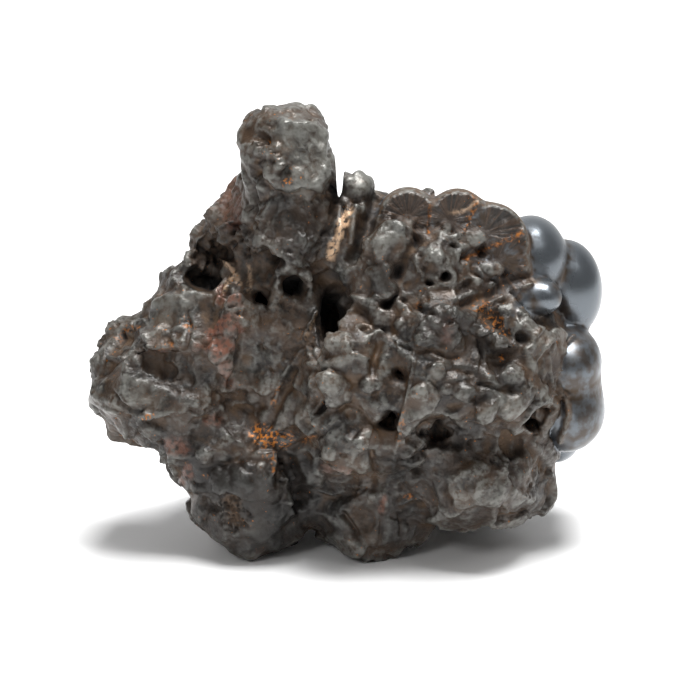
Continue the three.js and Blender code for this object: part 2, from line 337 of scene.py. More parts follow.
# The places within reach of a path: their rows, distance, offset from it and which part of it is nearest.
def nearPath(places, wobble, points, radius, reach):
    low, high = points.min(0) - reach * 1.3, points.max(0) + reach * 1.3
    rows = np.flatnonzero(np.all((places > low) & (places < high), axis=1))
    near = places[rows] + wobble[rows] * radius
    best = np.full(len(rows), 1e9)
    offset = np.zeros((len(rows), 3))
    part = np.zeros(len(rows), dtype=int)
    for index, (start, end) in enumerate(list(zip(points, points[1:])) or [(points[0], points[0])]):
        along = end - start
        share = np.clip((near - start) @ along / max(along @ along, 1e-9), 0, 1)
        gap = near - (start + share[:, None] * along)
        far = np.linalg.norm(gap, axis=1)
        closer = far < best
        best[closer], offset[closer], part[closer] = far[closer], gap[closer], index
    keep = best < reach
    return rows[keep], best[keep], offset[keep], part[keep]


# Strokes that sculpt the broken side. Each kind is followed by its strokes: radius, height, then the path in
# photo pixels as x, y, x, y. A ledge stands up on the side that is on top when its path runs to the right, a
# plate flattens, a fill lifts what lies low, and a rise lifts towards the top.
strokes = {
    "pillar": [
        ("plate", (5.6, 0.9, 304, 142), (4.6, 0.85, 312, 166), (3, 0.6, 298, 116)),
        ("groove", (0.4, 0.35, 281, 115, 286, 111, 294, 111), (0.25, 0.6, 296, 129, 302, 135)),
        ("pit", (1.9, 1.3, 256, 165), (1.5, 1.1, 262, 138), (1.3, 1.3, 285, 172), (0.9, 0.6, 272, 160)),
        ("ridge", (0.5, 0.4, 268, 128, 266, 143, 273, 155, 281, 161, 292, 169, 294, 179),
         (0.5, 0.35, 241, 150, 243, 130, 251, 115), (0.35, 0.45, 250, 150, 255, 146, 258, 142, 263, 146)),
        ("groove", (0.5, 0.45, 330, 128, 328, 150, 330, 180)),
        ("ridge", (0.45, 0.3, 334, 118, 335, 145, 332, 175)),
        ("ledge", (1.9, 1.1, 264, 175, 274, 188, 285, 195, 300, 188, 318, 192, 338, 199)),
    ],
    "pillarFoot": [
        ("plate", (4, 0.5, 303, 228)),
        ("ridge", (0.35, 0.3, 285, 234, 296, 244, 306, 234), (0.35, 0.25, 296, 244, 297, 256)),
        ("pit", (0.6, 0.35, 288, 225)),
        ("ledge", (1.5, 1.1, 272, 252, 285, 262, 300, 266, 318, 262, 330, 254)),
        ("ridge", (0.4, 0.4, 283, 197, 276, 215, 273, 226, 278, 242),
         (0.5, 0.5, 272, 195, 265, 212, 258, 232, 257, 252)),
        ("groove", (0.8, 0.8, 252, 186, 255, 208, 249, 228)),
    ],
    "slope": [
        ("pit", (6.5, 1, 248, 264), (1.5, 1.2, 224, 237), (2.2, 1.8, 234, 244), (1.6, 1.7, 246, 240),
         (1.2, 1.1, 230, 252), (1.4, 1.3, 243, 252)),
        ("groove", (0.8, 1, 214, 234, 234, 229, 254, 231)),
        ("pit", (1.3, 1.3, 258, 252), (2.6, 2.4, 267, 259), (1.3, 1.4, 277, 265), (1.1, 1, 262, 270),
         (1.2, 1.3, 222, 272), (0.7, 0.8, 207, 262), (2.4, 1.3, 265, 303), (0.55, 0.9, 190, 289),
         (0.5, 0.7, 250, 208), (0.4, 0.5, 249, 217)),
        ("ledge", (1.5, 1, 211, 238, 222, 229, 238, 222, 258, 221)),
        ("ridge", (0.6, 1.3, 224, 262, 232, 270, 240, 283, 246, 292),
         (0.55, 1.2, 249, 266, 251, 280, 249, 294), (0.5, 0.8, 272, 280, 280, 292),
         (0.4, 0.5, 183, 255, 200, 267, 218, 277), (0.7, 0.9, 231, 278, 222, 291, 218, 304)),
        ("knob", (1.3, 0.9, 236, 300)),
        ("pit", (1.1, 0.6, 228, 195)),
        ("knob", (1.2, 0.6, 215, 212)),
        ("pit", (0.7, 0.5, 205, 225)),
        ("knob", (1, 0.5, 196, 240)),
        ("groove", (0.5, 0.5, 176, 276, 190, 262, 203, 252)),
        ("ridge", (0.5, 0.8, 283, 262, 276, 272, 279, 286), (0.6, 0.7, 305, 268, 312, 284, 308, 298)),
    ],
    "block": [
        ("fill", (8.5, 0.6, 132, 366, 150, 350, 178, 352, 204, 372, 188, 386, 152, 386)),
        ("plate", (4.4, 0.85, 170, 312), (2.5, 0.5, 134, 334)),
        ("ledge", (1.7, 1.3, 112, 346, 124, 330, 139, 328, 144, 346, 152, 351, 165, 349, 179, 345)),
        ("pit", (2.8, 1.3, 150, 362), (2.5, 1.3, 171, 367), (2.2, 1.5, 127, 355), (1.3, 0.8, 190, 378)),
        ("ridge", (0.5, 0.6, 108, 357, 122, 358), (0.4, 0.6, 158, 356, 162, 372, 156, 384)),
        ("plate", (2.8, 0.75, 137, 395)),
        ("ledge", (1.1, 0.9, 118, 393, 127, 404, 140, 406, 149, 402)),
        ("groove", (0.5, 0.7, 120, 399, 130, 409, 142, 411)),
        ("ridge", (0.3, 0.4, 128, 411, 141, 412),
         (0.28, 0.32, 96, 374, 100, 350, 113, 332, 136, 309, 156, 297),
         (0.28, 0.32, 101, 376, 104, 355, 117, 338, 140, 315), (0.28, 0.32, 105, 380, 108, 362)),
        ("pit", (0.7, 0.6, 97, 380), (0.7, 0.5, 95, 408)),
        ("plate", (1.9, 0.85, 224, 325), (2.1, 0.85, 218, 346)),
        ("groove", (0.35, 0.6, 206, 335, 222, 334, 235, 337)),
        ("knob", (0.9, 0.5, 196, 347)),
        ("groove", (0.4, 0.6, 205, 344, 208, 353)),
        ("plate", (1.3, 0.75, 214, 421)),
        ("pit", (0.9, 0.6, 196, 420), (1, 0.6, 193, 436)),
        ("knob", (1.3, 0.6, 192, 400)),
        ("pit", (0.9, 0.6, 232, 396)),
        ("knob", (1.2, 0.5, 222, 385)),
        ("groove", (0.5, 0.5, 186, 300, 190, 330, 186, 345), (0.7, 0.9, 240, 338, 236, 362, 228, 384)),
        ("ledge", (1.2, 0.7, 150, 420, 172, 412, 196, 414)),
    ],
    "notch": [
        ("rise", (2.3, 1.5, 360, 184), (1.6, 0.6, 368, 186)),
        ("knob", (2.1, 0.9, 354, 186, 363, 187)),
        ("pit", (1, 0.7, 358, 200)),
        ("plate", (1.6, 0.5, 375, 182)),
        ("ridge", (0.75, 1, 357, 203, 352, 222, 352, 243)),
        ("groove", (0.4, 0.7, 344, 206, 345, 236)),
        ("ridge", (0.65, 0.8, 347, 210, 341, 230, 334, 248, 330, 257)),
        ("groove", (1.4, 1.7, 376, 196, 366, 226, 352, 258), (0.9, 1, 337, 196, 328, 225, 321, 245)),
        ("ridge", (0.45, 0.6, 370, 224, 380, 217, 393, 216)),
    ],
    "vug": [
        ("knob", (2.1, 1.3, 376, 248, 388, 240, 401, 231), (1.1, 0.9, 410, 222),
         (2.1, 1.2, 380, 270, 384, 290)),
        ("groove", (1.2, 1.6, 417, 238, 405, 260, 395, 278, 386, 306)),
        ("ridge", (0.8, 0.9, 366, 240, 358, 256, 348, 272)),
        ("knob", (1.2, 1.2, 447, 229), (0.9, 0.7, 441, 241), (1.7, 1, 434, 253)),
        ("ring", (0.85, 0.4, 441, 260)),
        ("pit", (0.6, 0.8, 441, 260), (0.75, 2.4, 445, 275)),
        ("ring", (1.2, 0.4, 445, 276)),
        ("pit", (0.7, 2.4, 430, 284)),
        ("ring", (1.1, 0.3, 430, 284)),
        ("pit", (0.45, 0.7, 458, 273), (0.7, 1.1, 463, 261), (0.9, 1.1, 455, 244)),
        ("knob", (1.4, 1.1, 464, 240, 478, 238)),
        ("ridge", (0.45, 0.6, 456, 238, 463, 246, 475, 247, 487, 240)),
        ("pit", (1.4, 1.8, 468, 255), (1.1, 1.5, 481, 252)),
        ("knob", (1.5, 1.3, 482, 271, 494, 269)),
        ("pit", (1.4, 1.3, 484, 287), (1, 0.9, 466, 284)),
        ("knob", (1.1, 0.6, 424, 300), (0.9, 0.6, 420, 250)),
        ("groove", (1, 0.8, 530, 275, 511, 281, 496, 290, 478, 298, 458, 306)),
        ("ridge", (0.4, 0.6, 531, 284, 512, 291, 500, 298, 484, 305),
         (0.9, 0.5, 505, 224, 502, 240, 498, 262)),
        ("knob", (1.6, 0.7, 440, 310)),
        ("pit", (0.9, 0.7, 412, 268), (0.6, 0.7, 425, 268), (1, 0.8, 505, 275)),
    ],
    "centre": [
        ("pit", (2.4, 2, 334, 322), (1.4, 1.6, 329, 343)),
        ("groove", (0.9, 1, 322, 340, 316, 358)),
        ("ridge", (0.6, 1, 317, 312, 308, 326, 304, 341, 310, 356)),
        ("pit", (1.2, 1, 345, 300)),
        ("knob", (1.9, 1.4, 337, 345, 345, 343)),
        ("ring", (0.95, 0.4, 364, 328)),
        ("pit", (0.7, 1, 364, 328)),
        ("plate", (1.5, 0.75, 363, 350)),
        ("ridge", (0.3, 0.5, 355, 358, 370, 358)),
        ("ledge", (1.5, 1.1, 308, 365, 322, 369, 340, 367, 353, 358)),
        ("knob", (2.3, 1.4, 328, 384, 338, 393)),
        ("groove", (0.7, 1.1, 317, 413, 333, 396, 349, 386), (1.2, 0.8, 293, 370, 282, 395, 269, 424)),
        ("ring", (2, 0.5, 307, 420)),
        ("pit", (1.4, 0.9, 307, 422)),
        ("ring", (1.1, 0.35, 352, 415)),
        ("knob", (1, 0.7, 400, 325), (1.7, 0.9, 376, 304, 381, 318)),
        ("pit", (1.7, 2.6, 402, 370), (1.5, 2.6, 393, 419)),
        ("ridge", (0.32, 0.6, 415, 358, 409, 385, 404, 412, 397, 445, 393, 470)),
        ("pit", (1.6, 1.7, 257, 303), (0.9, 0.9, 283, 306)),
        ("knob", (2, 0.9, 290, 335), (1.4, 0.6, 275, 325)),
        ("pit", (0.45, 0.6, 254, 371), (0.4, 0.6, 270, 370), (0.9, 0.7, 262, 348)),
        ("ridge", (0.35, 0.6, 281, 383, 272, 409)),
        ("knob", (1.4, 0.6, 255, 395)),
        ("ridge", (0.6, 0.8, 302, 350, 286, 374, 275, 402)),
        ("pit", (0.8, 0.5, 240, 420)),
        ("knob", (1.6, 0.8, 370, 385), (1.8, 0.7, 368, 440)),
        ("pit", (1, 0.6, 345, 455)),
        ("knob", (1.7, 0.6, 325, 455)),
        ("groove", (0.5, 0.7, 292, 449, 312, 440, 338, 424), (0.9, 0.9, 380, 345, 372, 368, 376, 398)),
    ],
    "right": [
        ("fill", (5.5, 0.45, 412, 346, 446, 350, 462, 358, 430, 362),
         (6.5, 0.35, 405, 432, 430, 423, 454, 430, 432, 446),
         (4.5, 0.5, 526, 414, 541, 400, 554, 412, 540, 430)),
        ("groove", (0.5, 0.9, 402, 346, 418, 351, 431, 350, 447, 356, 458, 356)),
        ("knob", (1.9, 1.1, 425, 338), (1.6, 0.9, 456, 342), (1, 0.8, 452, 313), (1.4, 1, 437, 371),
         (1.5, 1, 419, 392), (1.7, 0.9, 465, 395), (1.1, 0.6, 447, 392)),
        ("ledge", (1.4, 1.1, 412, 420, 430, 412, 447, 416, 462, 427)),
        ("pit", (2.9, 1.8, 437, 434), (1.8, 1.2, 462, 440), (0.7, 0.7, 418, 307), (1.7, 0.7, 490, 318),
         (0.6, 1.1, 498, 326), (1.4, 1.5, 524, 337)),
        ("knob", (2.1, 1.2, 511, 373)),
        ("ridge", (0.28, 0.4, 514, 361, 523, 376, 525, 384, 515, 389)),
        ("groove", (0.6, 0.9, 480, 384, 498, 388, 515, 391)),
        ("knob", (1.9, 1.1, 524, 396, 510, 412)),
        ("pit", (2.2, 1.4, 532, 420), (1.4, 1.4, 546, 410)),
        ("ridge", (0.45, 0.7, 532, 403, 545, 397, 556, 401, 567, 396),
         (0.5, 0.8, 551, 392, 558, 404, 548, 424, 542, 430),
         (0.7, 1, 559, 388, 567, 402, 569, 412, 565, 427, 560, 441), (0.4, 0.7, 530, 366, 540, 350, 552, 339),
         (0.4, 0.6, 533, 364, 529, 386), (0.4, 0.7, 547, 354, 552, 376, 556, 397),
         (0.4, 0.6, 560, 350, 574, 336)),
        ("groove", (0.5, 0.7, 540, 360, 543, 382)),
        ("knob", (1.4, 0.8, 497, 345), (1.4, 0.6, 478, 330)),
        ("pit", (0.8, 0.7, 470, 372)),
        ("knob", (1.8, 0.9, 486, 412)),
        ("pit", (1.4, 0.9, 520, 446)),
        ("groove", (0.6, 0.7, 484, 300, 478, 330, 484, 362)),
        ("ledge", (1, 0.7, 496, 352, 520, 346, 545, 330)),
        ("ridge", (0.4, 0.6, 497, 302, 506, 321, 502, 334)),
    ],
    "lobe": [
        ("ridge", (0.4, 0.5, 163, 450, 163, 472), (0.4, 0.5, 170, 450, 174, 477)),
        ("groove", (0.4, 0.7, 167, 453, 169, 471)),
        ("knob", (2.6, 0.9, 224, 482, 238, 483)),
        ("ledge", (1.5, 1.1, 190, 492, 215, 492, 229, 490, 247, 499)),
        ("pit", (1.7, 1.3, 207, 506)),
        ("ridge", (0.5, 0.6, 224, 508, 226, 522, 226, 538)),
        ("groove", (0.8, 0.6, 239, 458, 259, 460)),
        ("ridge", (0.45, 0.7, 265, 456, 275, 453, 274, 474)),
        ("plate", (3.6, 0.5, 265, 525)),
        ("pit", (2.3, 1.8, 291, 475), (2.5, 1.9, 301, 500)),
        ("plate", (2.6, 0.5, 180, 425)),
        ("pit", (0.9, 0.6, 182, 462)),
        ("knob", (1.2, 0.5, 188, 474), (1.6, 0.6, 205, 455)),
        ("groove", (1.3, 1.4, 284, 455, 292, 470, 300, 492)),
    ],
    "wedge": [
        ("plate", (1.9, 0.85, 332, 512), (2.3, 0.85, 362, 520), (2.7, 0.85, 396, 520), (1.6, 0.7, 332, 538)),
        ("groove", (0.6, 0.8, 344, 514, 355, 530, 367, 547), (0.4, 0.6, 382, 498, 380, 542),
         (0.35, 0.6, 345, 490, 364, 488), (0.3, 0.6, 367, 494, 362, 512)),
        ("ledge", (1.2, 0.8, 319, 492, 335, 497, 350, 492, 366, 488)),
        ("pit", (1.3, 1.4, 417, 474)),
        ("ridge", (0.45, 0.6, 401, 502, 417, 497)),
        ("knob", (1, 0.6, 407, 455)),
        ("ridge", (0.35, 0.5, 322, 468, 335, 474, 350, 470), (0.3, 0.45, 326, 480, 345, 482)),
        ("groove", (0.7, 0.7, 372, 452, 376, 474, 372, 494)),
    ],
}
# How far the edge of a stroke wanders, as a share of its radius.
wander = {"pit": 0.6, "fill": 0.1, "other": 0.3, "paint": 0.5, "lattice": 0.2}


def sculpt(places, normals, wobble, surface, kind, stroke):
    radius, height, *path = stroke
    points, facings = laidPath(surface, path)
    middle = points.mean(0)
    facing = facings.mean(0)
    facing /= np.linalg.norm(facing)
    line = middle[None, :] if kind == "fill" else points
    reach = radius * (1.6 if kind == "ring" else 1)
    shaken = wobble * wander.get(kind, wander["other"])
    rows, far, offset, part = nearPath(places, shaken, line, radius, reach)
    if not len(rows):
        return
    way = normals[rows] * 0.6 + facing * 0.4
    lift = (places[rows] - middle) @ facing
    share = far / radius
    if kind == "ridge":
        rise = height * (1 - share**2) ** 2
    elif kind == "groove":
        rise = -height * (1 - share**2) ** 2
    elif kind == "knob":
        rise = height * np.sqrt(np.maximum(1 - share**2, 0)) * smoothStep(0, 0.18, 1 - share)
    elif kind == "pit":
        rise = -height * (1 - smoothStep(0.3, 1, share))
    elif kind == "ring":
        rise = height * np.exp(-(((share - 1) / 0.26) ** 2))
    elif kind == "fill":
        rise = -np.minimum(lift, 0) * height * (1 - smoothStep(0.7, 1, share))
        way = np.tile(facing, (len(rows), 1))
    elif kind == "rise":
        rise = height * (1 - smoothStep(0, 1, share))
        way = np.tile(cameraUp, (len(rows), 1))
    elif kind == "ledge":
        along = points[np.minimum(part + 1, len(points) - 1)] - points[np.minimum(part, len(points) - 2)]
        side = np.cross(facing, along)
        side /= np.linalg.norm(side, axis=1)[:, None] + 1e-9
        across = np.einsum("ij,ij->i", offset, side) / radius
        rise = height * (smoothStep(-0.16, 0.16, across) - 0.5) * (1 - share) ** 1.2
    else:
        rise = -lift * height * (1 - smoothStep(0.6, 1, share))
        way = np.tile(facing, (len(rows), 1))
    places[rows] += way * rise[:, None]


# Colour and finish painted over the sculpted stone: radius, strength, then the path as x, y, x, y.
paints = {
    "cream": [
        (0.8, 1, 347, 211, 341, 230, 334, 248, 330, 257), (0.45, 0.45, 224, 262, 232, 270, 240, 283),
        (0.55, 0.7, 231, 278, 223, 290), (0.3, 0.4, 249, 268, 250, 291), (0.5, 0.4, 385, 190, 392, 186),
        (0.35, 0.4, 453, 213, 465, 210, 477, 201), (0.3, 0.3, 317, 313, 306, 338),
    ],
    "red": [
        (1.2, 1, 236, 300), (1.3, 1, 213, 331, 228, 320, 236, 328), (1.3, 1, 210, 345, 226, 345, 218, 354),
        (0.9, 0.8, 196, 347), (1.2, 0.6, 225, 365, 228, 380), (0.9, 0.7, 208, 421, 218, 419),
        (1.4, 0.7, 168, 446, 182, 448), (0.9, 0.6, 190, 468, 180, 482), (0.8, 0.8, 222, 290, 219, 300),
        (0.6, 0.3, 150, 350, 165, 352), (0.7, 0.4, 322, 468, 350, 472), (0.5, 0.7, 383, 498, 382, 512),
        (2.6, 0.5, 230, 190, 235, 215), (0.8, 0.3, 450, 320, 447, 340),
    ],
    "ochre": [
        (1.5, 1, 258, 433, 270, 438, 284, 441), (1.5, 0.7, 482, 306, 493, 318, 500, 332), (0.5, 1, 270, 143),
        (0.45, 1, 293, 168), (0.5, 1, 286, 182, 292, 180), (0.5, 1, 143, 420, 152, 415),
        (0.6, 0.6, 267, 457, 275, 455, 274, 470), (0.7, 1, 503, 358), (0.6, 0.6, 160, 348, 170, 346),
        (0.5, 0.5, 118, 340, 126, 329, 138, 328), (0.8, 0.5, 186, 320, 190, 330),
        (0.4, 0.5, 404, 412, 398, 440), (0.7, 0.5, 418, 307), (0.4, 0.7, 304, 440, 314, 436),
        (0.4, 0.5, 280, 384, 273, 406), (0.6, 0.6, 405, 497, 412, 495), (0.4, 0.7, 205, 475),
        (0.4, 0.5, 470, 192, 478, 200),
    ],
    "brown": [
        (0.9, 1, 530, 274, 511, 281, 496, 290, 478, 298, 458, 306),
        (0.8, 0.8, 507, 222, 502, 240, 498, 262, 500, 276), (1.3, 1, 232, 502, 236, 520),
        (1, 0.5, 418, 300, 414, 320), (2, 0.8, 555, 315, 568, 328),
        (3, 0.6, 262, 255, 262, 290), (3, 0.7, 280, 310, 300, 345), (3.2, 0.6, 210, 245, 235, 250),
        (0.9, 0.7, 350, 205, 352, 240), (3, 0.5, 437, 434), (2.2, 0.7, 400, 368), (2, 0.7, 393, 419),
        (2.4, 0.4, 150, 360, 175, 370), (0.8, 0.5, 402, 240, 395, 260), (2, 0.4, 355, 515, 372, 530),
        (3, 0.5, 225, 190, 215, 215, 200, 240), (2, 0.5, 535, 380, 545, 350), (0.9, 0.5, 585, 355, 582, 375),
        (2.4, 0.6, 330, 310, 335, 335), (0.9, 0.6, 420, 350, 465, 357), (2, 0.6, 545, 410, 535, 425),
        (4.5, 0.8, 585, 345, 580, 380, 585, 430), (0.9, 0.8, 570, 262, 556, 290, 572, 325),
    ],
    # Painted shade: the undersides, the lower half and the deepest hollows darkened towards near-black.
    "paintedShade": [
        (4, 0.9, 200, 478, 238, 482), (5, 0.9, 262, 495, 275, 535), (4, 0.7, 212, 515, 240, 540),
        (4.5, 0.6, 335, 515, 400, 520), (4.5, 0.6, 296, 212, 306, 240), (3.5, 0.8, 437, 434, 465, 440),
        (5, 0.6, 440, 330, 490, 345, 480, 380), (4.5, 0.7, 235, 245, 270, 262), (4, 0.6, 310, 332, 335, 320),
        (3.5, 0.9, 296, 470, 305, 510), (3.5, 0.6, 150, 365, 185, 378), (3.2, 0.7, 385, 275),
        (4, 0.7, 400, 460, 425, 480), (1.5, 0.5, 345, 188, 350, 205), (4, 0.4, 150, 440, 185, 440),
    ],
    # Pale stone: partly pale grey rock, partly painted highlight on the lit tops of plates, ledges and knobs
    # and on glints along folds.
    "paleAndLit": [
        (4.2, 0.9, 296, 125, 312, 150, 310, 172), (2, 0.6, 286, 108, 306, 104), (3, 0.5, 160, 314, 180, 308),
        (1.2, 0.6, 376, 247, 388, 239, 400, 231), (2.6, 0.5, 137, 395), (1.8, 0.6, 358, 180, 375, 184),
        (1, 0.9, 447, 229), (1.7, 0.7, 434, 255), (1.3, 0.8, 465, 241, 482, 238), (1.2, 0.8, 333, 345),
        (0.9, 0.7, 312, 364, 338, 362), (1.6, 0.5, 326, 385), (1, 0.6, 410, 222), (1.3, 0.5, 355, 262),
        (1.6, 0.6, 500, 395, 512, 412), (0.6, 0.8, 550, 345, 530, 365, 545, 372), (2, 0.4, 478, 218, 500, 215),
        (0.4, 0.6, 163, 450, 163, 472), (0.4, 0.6, 172, 450, 174, 477), (0.8, 0.5, 100, 350, 136, 309),
        (0.7, 0.5, 420, 290, 415, 300), (1.5, 0.35, 240, 378, 262, 352), (1.2, 0.4, 300, 405, 312, 425),
        (0.9, 0.5, 440, 372, 420, 392), (0.8, 0.4, 405, 415, 445, 413),
    ],
    "smooth": [
        (5, 0.9, 300, 120, 312, 150, 308, 175), (3.4, 0.8, 165, 312, 182, 308), (3.6, 0.6, 300, 225),
        (6, 0.95, 250, 500, 275, 535), (4, 0.9, 205, 480, 240, 485), (2.4, 0.7, 137, 395), (2.6, 0.4, 155, 365),
        (2.8, 0.6, 332, 515, 362, 520, 396, 520), (2.4, 0.6, 388, 241), (2.6, 0.8, 505, 400, 512, 412),
        (2.6, 0.5, 475, 345, 485, 385), (1.8, 0.6, 240, 350, 250, 340), (2.5, 0.6, 240, 440),
        (0.8, 0.9, 530, 275, 511, 281, 496, 290, 478, 298), (3, 1, 352, 184, 366, 184),
        (1.6, 0.8, 488, 270), (1.6, 0.5, 218, 346, 224, 325), (2.5, 0.6, 185, 430),
        (2.2, 0.8, 555, 318, 566, 328), (1.8, 0.6, 380, 278), (1.6, 0.6, 282, 400),
    ],
    "skin": [(0.8, 0.8, 518, 298, 514, 312, 510, 324), (2.2, 1, 584, 345, 583, 375, 586, 410, 580, 435)],
}


# A mask from 0 to 1 laid down by the paint strokes of that name.
def painted(places, wobble, surface, name):
    mask = np.zeros(len(places))
    for radius, strength, *path in paints[name]:
        points, _ = laidPath(surface, path)
        rows, far, _, _ = nearPath(places, wobble * wander["paint"], points, radius, radius * 1.3)
        laid = strength * (1 - smoothStep(0.5, 1.3, far / radius))
        mask[rows] = np.maximum(mask[rows], laid)
    return mask


# Fractal noise of about -1 to 1 whose largest lumps are size millimetres apart, the same as a way, and cells.
def noiseAt(places, size, octaves, shift=0.0):
    move = Vector((shift, shift * 0.7, -shift * 1.3))
    fractal, kind = noise.fractal, "PERLIN_ORIGINAL"
    return np.array([fractal(Vector(p) / size + move, 1.0, 2.0, octaves, noise_basis=kind) for p in places])


def warpAt(places, size, shift=0.0):
    return np.stack([noiseAt(places, size, 2, shift + step) for step in (0, 31.7, 57.3)], axis=1)


def cellsAt(places, size, shift=0.0):
    move = Vector((shift, -shift, shift * 0.6))
    return np.array([noise.voronoi(Vector(p) / size + move)[0][:2] for p in places])


# Flat facets: each cell is a plane with a tilt of its own, broken off where it meets the next.
def facetsAt(places, size, shift):
    move = np.array((shift, -shift, shift * 0.6))
    near = places / size + move
    middles = np.array([noise.voronoi(Vector(p))[1][0] for p in near])
    mixer = np.array(((12.9, 78.2, 37.7), (93.9, 67.3, 22.1), (45.2, 11.7, 83.1)))
    drawn = np.sin(middles @ mixer) * 437.5
    tilt = (drawn - np.floor(drawn)) * 2 - 1
    return np.einsum("ij,ij->i", near - middles, tilt) * size


# Relief of the broken stone: the size and the height of each kind, and a shift that gives it its own pattern.
relief = {
    "warp": (5, 0.9, 21),
    "smallWarp": (2.1, 0.2, 47),
    "bend": (7, 1.2, 3),
    "calm": (8, 0.8, 33),
    "slab": (6, 0.2, 5),
    "shard": (2.9, 0.19, 25),
    "chip": (1.3, 0.13, 71),
    "crag": (1.6, 0.2, 40),
    "pit": (1.8, 0.45, 60),
    "pitted": (5, 0.3, 95),  # the parts with pits in them
}
leastRough = 0.02


# Where the break is smooth rather than crumbly.
def calmAt(places):
    size, _, shift = relief["calm"]
    return smoothStep(-0.15, 0.2, noiseAt(places, size, 2, shift))


# Broken stone from slabs of several millimetres down to crags and pits.
def addRelief(places, normals, rough):
    rows = np.flatnonzero(rough > leastRough)
    at = places[rows]
    size, height, shift = relief["bend"]
    bent = at + warpAt(at, size, shift) * height
    small = np.zeros(len(rows))
    for name in ("shard", "chip"):
        size, tilt, shift = relief[name]
        small += facetsAt(bent, size, shift) * tilt
    size, height, shift = relief["crag"]
    small += height * (0.35 - np.abs(noiseAt(bent, size, 4, shift)))
    size, depth, shift = relief["pit"]
    spots = cellsAt(bent, size, shift)[:, 0]
    size, full, shift = relief["pitted"]
    small -= depth * (1 - smoothStep(0.1, 0.4, spots)) * smoothStep(0, full, noiseAt(at, size, 2, shift))
    size, tilt, shift = relief["slab"]
    rise = facetsAt(bent, size, shift) * tilt + small * (1 - relief["calm"][1] * calmAt(at))
    places[rows] += normals[rows] * (rise * rough[rows])[:, None]


# The broken side pushed out of its even curves before anything is sculpted on it.
def warpBreak(places, rough):
    rows = np.flatnonzero(rough > leastRough)
    at = places[rows]
    push = np.zeros((len(rows), 3))
    for name in ("warp", "smallWarp"):
        size, height, shift = relief[name]
        push += warpAt(at, size, shift) * height
    places[rows] += push * rough[rows, None]


# The split rim: where each fan of fibres spreads from, how fine, drawn out and high the fibres are, the dish
# of each face and how far it reaches, and the seam between two.
fans = {
    "roots": [(408, 218), (450, 220), (484, 234), (497, 262)],
    "finest": 9,
    "drawnOut": 0.12,
    "strand": 0.28,
    "dish": 0.55,
    "reach": 5.5,
    "seam": 0.22,
}


# Which fan a place on the split rim belongs to, its angle in it, its distance from the root, and the seams.
def fanPlaces(places, surface):
    right = np.cross((0, 0, 1.0), breakFacing)
    right /= -np.linalg.norm(right)
    up = np.cross(right, -breakFacing)
    up *= np.sign(up[2])
    roots = np.array([under(surface, root)[0] for root in fans["roots"]])
    flat = np.stack([(places - root) @ np.stack([right, up], axis=1) for root in roots])
    gaps = np.linalg.norm(flat, axis=2)
    owner = gaps.argmin(0)
    ranked = np.sort(gaps, axis=0)
    rows = np.arange(len(places))
    own = flat[owner, rows]
    angle = np.arctan2(own[:, 0], own[:, 1])
    return owner, angle, ranked[0], 1 - smoothStep(0, 0.5, ranked[1] - ranked[0])


def addFans(places, normals, surface):
    share = sectionShare(places, "shape")
    rows = np.flatnonzero(share > leastRough)
    owner, angle, far, seam = fanPlaces(places[rows], surface)
    fine, drawnOut = fans["finest"], fans["drawnOut"]
    spots = [Vector((a * fine, o * 3.7, g * drawnOut)) for a, o, g in zip(angle, owner, far)]
    strand = np.array([noise.noise(spot) for spot in spots])
    rise = fans["strand"] * strand * smoothStep(0.5, 2.5, far)
    rise = rise + fans["dish"] * (far / fans["reach"]) ** 2 + fans["seam"] * seam
    places[rows] += normals[rows] * (rise * share[rows])[:, None]


# A small pocket with a net of thin brown walls.
lattice = {"corners": [(217, 498), (247, 503), (240, 526), (228, 524)], "cell": 0.75, "deep": 0.55}


def addLattice(places, normals, wobble, surface):
    corners = np.array([under(surface, corner)[0] for corner in lattice["corners"]])
    middle = corners.mean(0)
    radius = np.linalg.norm(corners - middle, axis=1).max()
    rows, far, _, _ = nearPath(places, wobble * wander["lattice"], middle[None, :], radius, radius)
    cells = cellsAt(places[rows], lattice["cell"], 9)
    hollow = smoothStep(0.08, 0.3, cells[:, 1] - cells[:, 0]) * (1 - smoothStep(0.75, 1, far / radius))
    places[rows] -= normals[rows] * (hollow * lattice["deep"])[:, None]


# The narrow gap beside the standing block, cut down along the line of sight. In pixels.
notch = {"column": 339.5, "bottom": 197, "halfWidth": 4.6}


def cutNotch(places):
    across, down = pixelsOf(places)
    share = 1 - smoothStep(0.35, 1, np.abs(across - notch["column"]) / notch["halfWidth"])
    drop = np.maximum(notch["bottom"] - down, 0) * photo["mmPerPixel"] * share
    return places - cameraUp * drop[:, None] * (down < notch["bottom"])[:, None]


